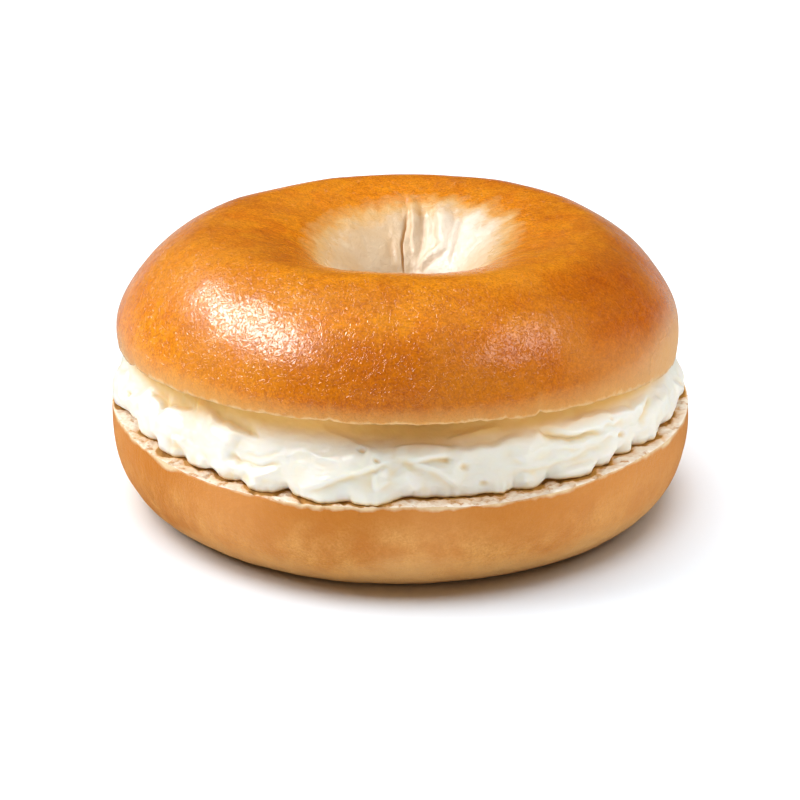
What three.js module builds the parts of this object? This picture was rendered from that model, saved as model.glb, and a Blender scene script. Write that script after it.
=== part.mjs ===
// A sliced bagel filled with cream cheese: a bottom half, the spread on it, and a domed top half
// that the spread holds up, further at the front than at the back.
//
// Millimetres, +Z up. The bagel stands on z = 0 with its hole upright, its front towards -Y.
// An azimuth starts at the front and grows towards +X, so the right side is at 90 degrees.

import * as THREE from 'three';

const FULL_TURN = 2 * Math.PI;
const degrees = THREE.MathUtils.degToRad;

// ---- Driving dimensions ----

const BAGEL_RADIUS = 56; // the bottom half at its widest, which is at its rim

const BOTTOM = {
  cutHeight: 18.9, // from the table to the cut face, on the axis
  cutSlope: degrees(0.7), // the cut face climbs a little towards the front
  bulgeHeight: 16, // where the crust stops leaning out and turns upright
  flatRadius: 44.5, // the flat baked underside
  holeRadius: 9.6, // at the cut face
  holeFootRadius: 15, // the hole opens out towards the table
};

const TOP = {
  cutRadius: 54.8,
  widestRadius: 55.2,
  widestHeight: 4, // above the cut face
  ridgeRadius: 36.8, // the crest of the dome stands this far from the axis
  height: 22.8,
  holeRadius: 9.4, // the throat, the hole's narrowest place
  throatHeight: 3.8,
  outerFullness: 1.48, // 2 is a true ellipse, less is a softer shoulder
  innerFullness: 1.96,
  innerFullnessWave: 0.16, // fuller at the sides than in front and at the back
  tilt: degrees(5.9), // the front is lifted
  roll: degrees(0.3), // and the left side a touch higher
  seat: new THREE.Vector3(0, 0.85, 30.7), // middle of its cut face
};

const CHEESE = {
  footRadius: 51, // where the notches of its edge lie on the bottom half
  holeRadius: 12.6,
  crestShare: 0.58, // of the points up the wall that are below its crest
  highestCrest: 0.62, // of the gap between the halves
  belly: 0.9, // how far the wall below the crest swells
  skirtShare: 0.4, // of the way to the crest that still follows the lobes of the edge
  clearance: 0.3, // to the bread above and below
};

// Hand-shaped dough is never quite round: each wave is [waves to a turn, size, phase]
const OUTLINE_WAVES = [[2, 0.32, 0.4], [3, 0.28, -1.1], [5, 0.16, 2.0]];
const DOME_WAVES = [[1, 0.15, 2.4], [2, 0.3, 0.9], [3, 0.2, -0.6], [7, 0.1, 1.3]];

// Broad swells of the dough round the hole: { azimuth, half-width, how proud }
const SWELLS = [
  { azimuth: 145, halfWidth: 16, proud: 0.9 },
  { azimuth: 118, halfWidth: 10, proud: -0.5 },
  { azimuth: -120, halfWidth: 14, proud: 0.6 },
  { azimuth: -60, halfWidth: 12, proud: -0.5 },
  { azimuth: 30, halfWidth: 16, proud: 0.5 },
];

// A fold is a ridge, or a crease where it is less than 0 proud, along a bent line of points
// [azimuth, level]. It is as wide as left on the side to the left of its run, and right on the other.

// Where the dough was pinched together in the hole; the level is the way up from the throat
const HOLE_FOLDS = [
  { proud: -1.7, left: 1.2, right: 1.2, line: [[175, 6], [178, 14], [177, 25]] },
  { proud: 0.9, left: 1.3, right: 1.3, line: [[178, 26], [175, 20], [169, 12]] },
  { proud: 1.2, left: 2.2, right: 2.4, line: [[163, 27], [157, 20], [145, 13]] },
  { proud: 0.9, left: 1.2, right: 2.2, line: [[142, 14], [154, 11], [161, 8]] },
  { proud: -0.5, left: 1.6, right: 1.6, line: [[-172, 16], [-173, 12], [-174, 8]] },
  { proud: 0.4, left: 4, right: 4, line: [[-150, 21], [-147, 16], [-146, 11]] },
];
const HOLE_CIRCLE = 20; // the mean radius of the skin round the hole

// The lobes of the spread's edge: [azimuth, half-width, reach past the notches]
const EDGE_LOBES = [
  [-99, 7, 2], [-88, 8, 5], [-68, 4.5, 3], [-58, 4.5, 3], [-49, 4, 2], [-39, 4, 2.5], [-30, 5, 4],
  [-16, 8, 4], [-6, 7, 4.5], [10, 20, 1.2], [21, 2.5, 2], [29, 4, 2], [40, 6, 3.8], [48, 3.5, 3],
  [56, 3, 2.5], [65, 6, 3.5], [79, 8, 3], [93, 5.5, 5], [101, 6, 2.5],
];
const ROUND_LOBES = { count: 15, first: 108, last: 258, seed: 2718 };
const EDGE_SOFTNESS = 1.2; // the window, in degrees, that rounds its corners off

// The spread's wall from the side, by azimuth: how far its crest and its top stand in from the
// edge, how high the crest is, and how hollow the shelf above it is
const WALL_KEYS = [
  [-180, 0.6, 2.4, 3.5, 1], [-120, 0.2, 2.2, 4.5, 1], [-98, 0.4, 3, 5, 1], [-86, -1.2, 2.4, 6.5, 1],
  [-78, -1.2, 3, 5.5, 1], [-66, 0, 5.5, 6, 1.2], [-58, 0.7, 7.5, 6.5, 1.3], [-50, 1.2, 5, 7, 1],
  [-44, 1.5, 8, 7, 1.2], [-18, 3.4, 12.5, 7.5, 1.2], [-9, 3.2, 16, 9, 1.6], [0, 3.2, 17.5, 10, 2],
  [10, 3, 17, 10.5, 1.9], [18, 2.8, 12, 11, 1.3], [26, 2.8, 8.5, 12, 1.1], [48, 2.4, 6.5, 9.5, 1.1],
  [72, 0.4, 3.4, 6.5, 1], [88, -0.6, 1.8, 6, 1], [110, 0.3, 2.2, 5, 1], [180, 0.6, 2.4, 3.5, 1],
];
const WALL_SOFTNESS = 10;

// The broader folds that the knife left in the front; the level is the way up the wall
const FRONT_FOLDS = [
  { proud: 1.2, left: 3, right: 3, line: [[-82, 6.5], [-71, 6.5], [-53, 6]] },
  { proud: 0.9, left: 1, right: 2, line: [[-56, 1.5], [-55, 4], [-51, 5]] },
  { proud: 1.8, left: 1.6, right: 1.6, line: [[-50, 11], [-51, 13], [-52, 15]] },
  { proud: 1.5, left: 5, right: 5, line: [[-50, 11.5], [-42, 7.5], [-37, 6.5]] },
  { proud: 0.9, left: 2, right: 1.5, line: [[-49, 1], [-37, 3], [-25, 4.5]] },
  { proud: -1.1, left: 1, right: 1.6, line: [[-39, 6], [-36, 4.5], [-31, 5], [-25, 6]] },
  { proud: 2, left: 6, right: 1, line: [[-21, 2], [-11, 6], [-5, 8.5], [-1, 8.5]] },
  { proud: 1.5, left: 1, right: 6, line: [[-19, 15], [-9, 11.5], [-3, 8.5]] },
  { proud: 1.3, left: 1, right: 3.5, line: [[-4, 3], [-5, 6], [-3, 7.5]] },
  { proud: 1, left: 1.2, right: 2.6, line: [[-2, 10], [3, 11], [12, 9]] },
  { proud: 1.2, left: 2.5, right: 4, line: [[0, 6.5], [2, 4], [4, 1.5]] },
  { proud: -1.2, left: 0.8, right: 1.4, line: [[0, 7.5], [6, 7], [11, 7.5]] },
  { proud: 1.6, left: 6, right: 1, line: [[1, 8], [7, 6], [13, 2.5]] },
  { proud: 1.2, left: 1.3, right: 4, line: [[10, 9.5], [15, 8.5], [22, 9], [30, 10.5]] },
  { proud: 1, left: 1.2, right: 3, line: [[11, 12], [19, 13], [25, 13]] },
  { proud: 1.3, left: 4.5, right: 1.2, line: [[27, 4], [28, 7], [31, 12]] },
  { proud: -1.7, left: 0.8, right: 1.6, line: [[31, 11], [37, 9], [42, 8], [50, 6]] },
  { proud: 1, left: 4, right: 1, line: [[32, 12], [38, 10], [45, 8], [53, 7]] },
  { proud: 1, left: 3, right: 1.4, line: [[31, 1.5], [46, 2], [53, 2.5], [56, 4.5]] },
  { proud: 1.3, left: 1.3, right: 2.5, line: [[38, 11], [46, 10], [57, 8], [68, 8.5]] },
  { proud: 0.8, left: 1.5, right: 3, line: [[39, 7.5], [48, 6.5], [55, 6]] },
  { proud: 1.2, left: 3, right: 2.5, line: [[63, 1], [66, 4.5], [77, 7.5]] },
];

// The other folds, round the sides and the back
const ROUND_FOLDS = { count: 46, first: 84, last: 282, seed: 4177 };

// Facets
const BOTTOM_STEPS = 72;
const TOP_STEPS = 112;
const CHEESE_STEPS = 152;

// ---- Small helpers ----

function waves(table, azimuth) {
  return table.reduce((sum, [count, size, phase]) => sum + size * Math.cos(count * azimuth + phase), 0);
}

// The signed way from one azimuth to another, at most half a turn
function turnTo(from, to) {
  return Math.atan2(Math.sin(to - from), Math.cos(to - from));
}

// Park and Miller's generator, which gives the same draws everywhere
function drawsFrom(seed) {
  let state = seed;
  return (low, high) => {
    state = (state * 16807) % 2147483647;
    return low + (high - low) * (state / 2147483647);
  };
}

function ringPoint(radius, azimuth, z) {
  return new THREE.Vector3(radius * Math.sin(azimuth), -radius * Math.cos(azimuth), z);
}

// A curve (azimuth -> value) with its corners rounded off over a window in degrees
function roundedOff(curve, azimuth, halfWindow) {
  const reach = 8;
  let total = 0;
  let weights = 0;
  for (let k = -reach; k <= reach; k += 1) {
    const weight = reach + 1 - Math.abs(k);
    total += weight * curve(azimuth + (degrees(halfWindow) * k) / reach);
    weights += weight;
  }
  return total / weights;
}

// The way from a place to a bent line, and on which side of its run it lies and how far along
function wayFromLine(line, x, y) {
  const pieces = line.slice(1).map((end, k) => {
    const start = line[k];
    return { start, step: [end[0] - start[0], end[1] - start[1]] };
  });
  const whole = pieces.reduce((sum, { step }) => sum + Math.hypot(...step), 0);
  let nearest = { away: Infinity };
  let done = 0;
  pieces.forEach(({ start, step }) => {
    const length = Math.hypot(...step);
    const across = [x - start[0], y - start[1]];
    const part = THREE.MathUtils.clamp((across[0] * step[0] + across[1] * step[1]) / length ** 2, 0, 1);
    const away = Math.hypot(across[0] - part * step[0], across[1] - part * step[1]);
    if (away < nearest.away) {
      const onLeft = step[0] * across[1] - step[1] * across[0] > 0;
      nearest = { away, onLeft, along: (done + part * length) / whole };
    }
    done += length;
  });
  return nearest;
}

// How proud the folds leave a surface that is rolled out on a circle, at an azimuth and a level
function foldRelief(folds, circle, azimuth, level) {
  return folds.reduce((sum, fold) => {
    const start = degrees(fold.line[0][0]);
    const line = fold.line.map(([at, up]) => [turnTo(start, degrees(at)) * circle, up]);
    const { away, onLeft, along } = wayFromLine(line, turnTo(start, azimuth) * circle, level);
    const profile = Math.max(1 - away / (onLeft ? fold.left : fold.right), 0) ** 1.4;
    const ends = Math.min(1.6 * Math.sin(Math.PI * THREE.MathUtils.clamp(along, 0.02, 0.98)), 1);
    return sum + fold.proud * profile * ends;
  }, 0);
}

// A closed ring from its cross-sections, one a step round the axis. Each section runs clockwise
// as seen with the axis on its left, so the faces point out.
function ringGeometry(steps, sectionAt) {
  const sections = [];
  for (let step = 0; step < steps; step += 1) {
    const azimuth = (FULL_TURN * step) / steps;
    sections.push(sectionAt(azimuth).map(([radius, z]) => ringPoint(radius, azimuth, z)));
  }
  const around = sections[0].length;
  const indices = [];
  for (let step = 0; step < steps; step += 1) {
    for (let k = 0; k < around; k += 1) {
      const here = step * around + k;
      const next = step * around + ((k + 1) % around);
      const turned = ((step + 1) % steps) * around;
      indices.push(here, next, turned + ((k + 1) % around));
      indices.push(here, turned + ((k + 1) % around), turned + k);
    }
  }
  const geometry = new THREE.BufferGeometry().setFromPoints(sections.flat());
  geometry.setIndex(indices);
  geometry.computeVertexNormals();
  return geometry;
}

// Points between two section points, both left out
function between([radiusA, zA], [radiusB, zB], count) {
  return Array.from({ length: count }, (_, k) => {
    const t = (k + 1) / (count + 1);
    return [radiusA + (radiusB - radiusA) * t, zA + (zB - zA) * t];
  });
}

// A quarter of a superellipse from its level end (t = 0) to its upright end (t = 1)
function shoulder(t, fullness) {
  const angle = (t * Math.PI) / 2;
  return [Math.sin(angle) ** (2 / fullness), Math.cos(angle) ** (2 / fullness)];
}

// ---- The bottom half ----

function bottomCutHeight(x, y) {
  return BOTTOM.cutHeight - y * Math.tan(BOTTOM.cutSlope);
}

function bottomSection(azimuth) {
  const rimRadius = BAGEL_RADIUS + waves(OUTLINE_WAVES, azimuth);
  const cutAt = (radius) => {
    const point = ringPoint(radius, azimuth, 0);
    return [radius, bottomCutHeight(point.x, point.y)];
  };
  const rim = cutAt(rimRadius);
  const holeEdge = cutAt(BOTTOM.holeRadius);
  const flatEdge = BOTTOM.flatRadius + 0.6 * waves(OUTLINE_WAVES, azimuth);

  const crustPoints = 8;
  const crust = Array.from({ length: crustPoints }, (_, k) => {
    const [outward, downward] = shoulder(1 - k / (crustPoints - 1), 2);
    const height = BOTTOM.bulgeHeight * (1 - downward);
    return [flatEdge + (rimRadius + 0.1 - flatEdge) * outward, height];
  });
  const holePoints = 4;
  const hole = Array.from({ length: holePoints }, (_, k) => {
    const t = k / holePoints;
    const widening = (1 - Math.sin((t * Math.PI) / 2)) * (BOTTOM.holeFootRadius - BOTTOM.holeRadius);
    return [BOTTOM.holeRadius + widening, holeEdge[1] * t * 0.9];
  });
  return [holeEdge, ...between(holeEdge, rim, 2), rim, ...crust, ...hole];
}

// ---- The top half, in its own frame: cut face at z = 0 ----

function swellDepth(azimuth) {
  return SWELLS.reduce((sum, swell) => {
    const away = turnTo(degrees(swell.azimuth), azimuth) / degrees(swell.halfWidth);
    return sum + swell.proud * Math.exp(-away * away);
  }, 0);
}

function topSection(azimuth) {
  const outline = waves(OUTLINE_WAVES, azimuth);
  const ridgeHeight = TOP.height + waves(DOME_WAVES, azimuth);
  const widest = TOP.widestRadius + outline;
  const cutEdge = [TOP.cutRadius + outline, 0];
  const swell = swellDepth(azimuth);
  const fullness = TOP.innerFullness - TOP.innerFullnessWave * Math.cos(2 * azimuth);

  const innerPoints = 9;
  const climbed = [0];
  const inner = Array.from({ length: innerPoints }, (_, k) => {
    const [level, upright] = shoulder(k / innerPoints, fullness);
    const swelled = swell * 0.65 * Math.sin(Math.PI * Math.sqrt(k / innerPoints));
    const radius = TOP.ridgeRadius - (TOP.ridgeRadius - TOP.holeRadius) * upright;
    return [radius - swelled, TOP.throatHeight + (ridgeHeight - TOP.throatHeight) * level];
  });
  for (let k = 1; k < innerPoints; k += 1) {
    climbed.push(climbed[k - 1] + Math.hypot(inner[k][0] - inner[k - 1][0], inner[k][1] - inner[k - 1][1]));
  }
  const folded = inner.map(([radius, z], k) => {
    const [before, after] = [inner[Math.max(k - 1, 0)], inner[Math.min(k + 1, innerPoints - 1)]];
    const slope = Math.hypot(after[0] - before[0], after[1] - before[1]);
    const proud = foldRelief(HOLE_FOLDS, HOLE_CIRCLE, azimuth, climbed[k]);
    return [radius - (proud * (after[1] - before[1])) / slope, z + (proud * (after[0] - before[0])) / slope];
  });
  const outerPoints = 9;
  const outer = Array.from({ length: outerPoints }, (_, k) => {
    const [outward, above] = shoulder(k / (outerPoints - 1), TOP.outerFullness);
    const radius = TOP.ridgeRadius + (widest - TOP.ridgeRadius) * outward;
    return [radius, TOP.widestHeight + (ridgeHeight - TOP.widestHeight) * above];
  });
  const holeEdge = [TOP.holeRadius + 0.7, 0];
  return [holeEdge, ...folded, ...outer, cutEdge, ...between(cutEdge, holeEdge, 2)];
}

// The plane of its cut face once it sits on the spread
function topCutPlane(turned) {
  const up = new THREE.Vector3(0, 0, 1).applyEuler(turned);
  return (x, y) => TOP.seat.z - (up.x * (x - TOP.seat.x) + up.y * (y - TOP.seat.y)) / up.z;
}

// ---- The cream cheese ----

function edgeLobes() {
  const draw = drawsFrom(ROUND_LOBES.seed);
  const { count, first, last } = ROUND_LOBES;
  const round = Array.from({ length: count }, (_, k) => {
    const azimuth = first + ((last - first) * (k + draw(0.3, 0.7))) / count;
    return [azimuth, draw(4, 8), draw(1.5, 4)];
  });
  return [...EDGE_LOBES, ...round];
}

const LOBES = edgeLobes();

// Where the spread ends on the bottom half: rounded lobes that meet in notches
function edgeRadius(azimuth) {
  return CHEESE.footRadius + LOBES.reduce((reach, [centre, halfWidth, length]) => {
    const away = turnTo(degrees(centre), azimuth) / degrees(halfWidth);
    return Math.max(reach, length * Math.max(1 - away * away, 0) ** 0.6);
  }, 0);
}

// One column of the wall's keys, read at an azimuth
function wallKey(column, azimuth) {
  const turned = THREE.MathUtils.radToDeg(turnTo(0, azimuth));
  const after = Math.max(WALL_KEYS.findIndex(([at]) => at >= turned), 1);
  const [low, high] = [WALL_KEYS[after - 1], WALL_KEYS[after]];
  return low[column] + ((high[column] - low[column]) * (turned - low[0])) / (high[0] - low[0]);
}

function spreadFolds() {
  const draw = drawsFrom(ROUND_FOLDS.seed);
  const { count, first, last } = ROUND_FOLDS;
  const round = Array.from({ length: count }, (_, k) => {
    const azimuth = first + ((last - first) * (k + draw(0.2, 0.8))) / count;
    const level = draw(1.5, 9);
    const heading = degrees(draw(-25, 50));
    const bend = degrees(draw(-35, 35));
    const half = draw(2.5, 6);
    const line = [-1, 0, 1].map((turn) => {
      const angle = heading + (bend * turn) / 2;
      return [azimuth + turn * half * Math.cos(angle) * 1.1, level + turn * half * Math.sin(angle)];
    });
    const [narrow, wide] = [draw(0.7, 1.6), draw(2.5, 6)];
    const [left, right] = draw(0, 1) < 0.4 ? [wide, narrow] : [narrow, wide];
    const proud = draw(0.5, 1.2) * (draw(0, 1) < 0.7 ? 1 : -0.6);
    return { proud, left, right, line };
  });
  return [...FRONT_FOLDS, ...round];
}

const FOLDS = spreadFolds();

// The ceiling is the height of the top half's cut face over any place
function cheeseSection(azimuth, ceiling) {
  const foot = roundedOff(edgeRadius, azimuth, EDGE_SOFTNESS);
  const evenFoot = roundedOff(edgeRadius, azimuth, 1.6 * WALL_SOFTNESS);
  const key = (column) => roundedOff((at) => wallKey(column, at), azimuth, WALL_SOFTNESS);
  const [crestRadius, topRadius] = [evenFoot - key(1), evenFoot - key(2)];
  const [crestHeight, hollow] = [key(3), key(4)];
  const heightsAt = (radius) => {
    const { x, y } = ringPoint(radius, azimuth, 0);
    return [bottomCutHeight(x, y) + CHEESE.clearance, ceiling(x, y) - CHEESE.clearance];
  };
  const low = heightsAt(foot)[0];
  const high = heightsAt(topRadius)[1];
  const crestZ = low + Math.min(crestHeight, CHEESE.highestCrest * (high - low));

  // The bare wall, from its foot to its top
  const wallPoints = 15;
  const bare = Array.from({ length: wallPoints }, (_, k) => {
    const t = k / (wallPoints - 1);
    const below = Math.min(t / CHEESE.crestShare, 1);
    const above = Math.max((t - CHEESE.crestShare) / (1 - CHEESE.crestShare), 0);
    const skirt = (foot - evenFoot) * Math.max(1 - below / CHEESE.skirtShare, 0);
    const belly = below < 1 ? CHEESE.belly * Math.sin(Math.PI * below) ** 0.8 : 0;
    const toCrest = (crestRadius - evenFoot) * Math.sin((below * Math.PI) / 2);
    const toTop = (topRadius - crestRadius) * above;
    const z = low + (crestZ - low) * below + (high - crestZ) * above ** hollow;
    return [evenFoot + skirt + belly + toCrest + toTop, z];
  });
  let up = 0;
  const wall = bare.map(([radius, z], k) => {
    const [before, after] = [bare[Math.max(k - 1, 0)], bare[Math.min(k + 1, wallPoints - 1)]];
    up += k > 0 ? Math.hypot(radius - before[0], z - before[1]) : 0;
    const slope = Math.hypot(after[0] - before[0], after[1] - before[1]);
    const ends = Math.min(1, up, (3 * (wallPoints - 1 - k)) / wallPoints);
    const proud = foldRelief(FOLDS, CHEESE.footRadius, azimuth, up) * ends;
    const outward = radius + (proud * (after[1] - before[1])) / slope;
    const [lowest, highest] = heightsAt(outward);
    return [outward, THREE.MathUtils.clamp(z + (proud * (before[0] - after[0])) / slope, lowest, highest)];
  });
  wall.reverse();

  const inner = CHEESE.holeRadius + 0.6 * waves(DOME_WAVES, azimuth);
  const [innerLow, innerHigh] = heightsAt(inner);
  const innerFoot = [inner, innerLow];
  const innerTop = [inner, innerHigh];
  return [innerFoot, innerTop, ...between(innerTop, wall[0], 1), ...wall,
    ...between(wall[wallPoints - 1], innerFoot, 1)];
}

// ---- Colours and the assembled bagel ----

const CRUST = new THREE.MeshStandardMaterial({ color: '#d9893b', roughness: 0.38, metalness: 0 });
const PALE_CRUST = new THREE.MeshStandardMaterial({ color: '#dd9c54', roughness: 0.55, metalness: 0 });
const SPREAD = new THREE.MeshStandardMaterial({ color: '#f6f1e4', roughness: 0.4, metalness: 0 });

function namedMesh(name, geometry, material) {
  const mesh = new THREE.Mesh(geometry, material);
  mesh.name = name;
  return mesh;
}

const topHalf = namedMesh('top_half', ringGeometry(TOP_STEPS, topSection), CRUST);
topHalf.rotation.set(-TOP.tilt, TOP.roll, 0);
topHalf.position.copy(TOP.seat);

const ceiling = topCutPlane(topHalf.rotation);
const cheese = namedMesh(
  'cream_cheese',
  ringGeometry(CHEESE_STEPS, (azimuth) => cheeseSection(azimuth, ceiling)),
  SPREAD,
);
const bottomHalf = namedMesh('bottom_half', ringGeometry(BOTTOM_STEPS, bottomSection), PALE_CRUST);

const bagel = new THREE.Group();
bagel.add(bottomHalf, cheese, topHalf);

// The origin lies on the table, under the middle of the whole outline
const outline = new THREE.Box3().setFromObject(bagel, true);
const middle = outline.getCenter(new THREE.Vector3());
bagel.position.set(-middle.x, -middle.y, -outline.min.z);
bagel.updateMatrixWorld(true);

export default bagel;
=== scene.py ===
"""A sliced bagel filled with cream cheese: crust, crumb and spread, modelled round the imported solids.

Shapes are worked out in millimetres round the bagel's own axis and turned into metres as each
mesh is made. An azimuth starts at the front (-Y) and grows towards +X: tables give it in degrees,
and functions take it in radians.
"""

import math

import bpy
import numpy as np
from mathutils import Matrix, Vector


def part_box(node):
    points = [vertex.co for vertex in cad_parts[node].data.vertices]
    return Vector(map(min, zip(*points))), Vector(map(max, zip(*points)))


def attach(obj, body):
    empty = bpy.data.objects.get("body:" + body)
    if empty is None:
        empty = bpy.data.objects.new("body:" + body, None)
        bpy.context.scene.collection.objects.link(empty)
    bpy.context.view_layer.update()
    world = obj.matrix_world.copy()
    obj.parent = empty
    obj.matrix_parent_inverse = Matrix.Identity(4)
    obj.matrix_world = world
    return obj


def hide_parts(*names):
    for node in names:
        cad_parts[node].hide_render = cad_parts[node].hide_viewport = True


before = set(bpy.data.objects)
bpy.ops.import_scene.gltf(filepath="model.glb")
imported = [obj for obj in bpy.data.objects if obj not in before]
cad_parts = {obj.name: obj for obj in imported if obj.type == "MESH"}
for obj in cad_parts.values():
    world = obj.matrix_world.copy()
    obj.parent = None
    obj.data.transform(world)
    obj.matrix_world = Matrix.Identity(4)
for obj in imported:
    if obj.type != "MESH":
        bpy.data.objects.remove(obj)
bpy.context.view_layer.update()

MM = 0.001
TURN = 2 * math.pi
TINY = 1e-12

# ---- Driving dimensions, in millimetres ----

BAGEL_RADIUS = 56.0

BOTTOM = dict(
    cut_height=18.9, cut_slope=math.radians(0.7), bulge_height=16.0, flat_radius=44.5,
    hole_radius=9.6, hole_foot_radius=15.0, overhang=0.1, flat_waviness=0.6,
)
TOP = dict(
    cut_radius=54.8, widest_radius=55.2, widest_height=4.0, ridge_radius=36.8, height=23.0,
    hole_radius=9.4, hole_flare=0.7, throat_height=3.8, outer_fullness=1.48, inner_fullness=1.96,
    tilt=math.radians(5.9), roll=math.radians(0.3), seat=(0.0, 0.85, 30.7),
)
CHEESE = dict(
    foot_radius=51.0, hole_radius=12.6, crest_share=0.58, highest_crest=0.62, belly=0.9,
    skirt_share=0.4, hole_waviness=0.6, tuck=0.5, tuck_height=0.5, least_lift=0.02, lift_height=1.5,
    clearance=0.05, hollow_depth=0.55,
)

# Hand-shaped dough is never quite round: (waves to a turn, size, phase)
OUTLINE_WAVES = ((2, 0.32, 0.4), (3, 0.28, -1.1), (5, 0.16, 2.0))
DOME_WAVES = ((1, 0.15, 2.4), (2, 0.3, 0.9), (3, 0.2, -0.6), (7, 0.1, 1.3))
INNER_FULLNESS_WAVES = ((2, -0.16, 0.0),)

# Broad forms of the dough: (azimuth and half-width in degrees, size in mm)
BOTTOM_BULGES = ((80, 34, 1.1),)
CUT_RISES = ((1, 14, 0.8), (52, 20, 1.0), (-76, 14, 0.8))
CUT_RISE_START = 42.0
HOLE_SWELLS = (
    (145, 16, 0.585), (118, 10, -0.325), (-120, 14, 0.39), (-60, 12, -0.325), (30, 16, 0.325),
)
EDGE_SAGS = ((76, 14, 1.5),)

# Folds (proud above 0) and creases (below 0) in the skin of the hole: (proud, width of the side to
# the left of its run, width to the right, ((azimuth in degrees, way up from the throat), ...))
HOLE_FOLDS = (
    (-1.0, 0.35, 0.3, ((176, 6), (179, 13), (176, 21))),
    (0.8, 0.5, 1.3, ((176, 27), (173, 20), (170, 12))),
    (-0.5, 1.2, 1.2, ((170, 24), (164, 15), (164, 9))),
    (1.2, 2.2, 2.4, ((163, 27), (157, 20), (145, 13))),
    (0.8, 1.2, 2.2, ((142, 14), (154, 11), (161, 8))),
    (-0.35, 1.0, 2.2, ((152, 25), (138, 16), (128, 10))),
    (-0.3, 1.6, 1.6, ((-172, 16), (-173, 12), (-174, 8))),
    (0.4, 4, 4, ((-150, 21), (-147, 16), (-146, 11))),
)
HOLE_CIRCLE = 20.0      # arcs in the hole are measured on this radius
HOLE_FOLD_REACH = 12.0

# How far from the axis the skin turns from pale to golden: its mean, and waves round it
PALE_RADIUS = 18.5
PALE_WAVES = ((1, 4.6, -2.6), (2, 1.1, 0.6))

# Fine relief, as layers of noise: (depth and grain in mm, seed)
BOTTOM_DENTS = ((0.22, 16, 11), (0.1, 6, 12), (0.05, 2.4, 13))
FACE_DENTS = ((0.15, 5, 23), (0.075, 2.5, 24), (0.0375, 1.25, 25))
RIM_TEAR = ((0.22, 6, 31), (0.11, 3, 32), (0.03, 1.3, 32))
TOP_DENTS = ((0.3, 22, 41), (0.14, 9, 42), (0.05, 4, 43))
EDGE_TEAR = ((0.28, 6, 61), (0.14, 3, 62), (0.07, 1.5, 63), (0.2, 1.6, 62))
SKIN_CRINKLES = ((0.12, 1.3, 50),)
HOLE_WANDER = ((0.5, 6, 47), (0.2, 2, 48))
# How far the edge of the painted shade in the gap under the spread wanders
GAP_SHADE_WANDER = ((1.1, 3.5, 24),)
MATT_WANDER = ((1.5, 9, 64),)

# Streaks that run up the hole: (strength, grain in mm, seed), on a circle and in place
STREAKS_ON_CIRCLE = ((1.0, 3.4, 45), (0.5, 1.5, 46))
STREAKS_IN_PLACE = ((0.5, 3, 49),)
STREAK_CIRCLE = 30.0
STREAK_DEPTH = 0.07
STREAK_REACH = 1.8
# How sunk a fold is where the painted shade in its crease is full, in mm.
FURROW_SHADE_DEPTH = 0.45

# Pores and notches, where noise is above its start: (depth and grain in mm, seed, start)
BOTTOM_PORES = ((0.9, 1.5, 21, 0.12), (0.4, 0.8, 22, 0.0))
TOP_PORES = ((1.0, 2.2, 51, 0.05), (0.5, 1.1, 52, 0.0))
EDGE_NOTCHES = ((2.4, 2.6, 63, 0.38),)

# Painted shade, brown, in the gap under the spread: (mm past its edge where it ends, where it is full,
# strength)
GAP_SHADES = ((1.1, 0.1, 1.0), (2.6, 0.2, 0.5))

# Where the crust has another look: (azimuth and half-width in degrees, strength)
# Painted light: the bottom half lighter on the sides that the lamps light.
PAINTED_LIGHT_BOTTOM = ((62, 36, 0.6), (-36, 14, 0.5), (6, 9, 0.3), (-80, 15, 0.5))
SCRATCHED_BOTTOM = ((-58, 24, 1.0),)
# Painted shade: the crown darker on its right side and at its low front.
PAINTED_SHADE_SIDE = ((66, 36, 1.0),)
PAINTED_SHADE_FRONT = ((5, 38, 0.7),)
# Painted light: the crown's front ridge lighter, where light from above falls.
PAINTED_LIGHT_FRONT = ((-5, 42, 0.8),)
MATT_SIDE = ((78, 24, 0.8),)
# Painted light: the right wall of the hole whiter, where the lamps light and shine on it.
PAINTED_LIGHT_HOLE = ((137, 28, 0.9),)
STREAKED_HOLE = ((135, 60, 0.7),)
PALE_EDGES = ((-75, 35, 0.6), (65, 35, 0.8))

# The camera: its elevation in degrees, lengths in mm, and its focal length in pixels of the image
CAMERA = dict(elevation=23.13, distance=2000.0, aim_right=0.1, aim_height=18.4, focal_pixels=10248.0)
IMAGE_PIXELS = 800
SENSOR_WIDTH = 36.0


# ---- Arithmetic ----

def ease(start, end, value):
    """A smooth step from 0 at its start to 1 at its end, which may be the lower of the two."""
    t = np.clip((value - start) / (end - start), 0, 1)
    return t * t * (3 - 2 * t)


def waves(table, azimuth):
    return sum(size * np.cos(count * azimuth + phase) for count, size, phase in table)


def turn_to(start, end):
    """The signed way from one azimuth to another, at most half a turn."""
    return np.arctan2(np.sin(end - start), np.cos(end - start))


def patches(table, azimuth):
    """Soft patches round the axis: (azimuth and half-width in degrees, strength)."""
    total = 0
    for centre, half_width, strength in table:
        away = turn_to(math.radians(centre), azimuth) / math.radians(half_width)
        total = total + strength * np.exp(-away ** 2)
    return total


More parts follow.
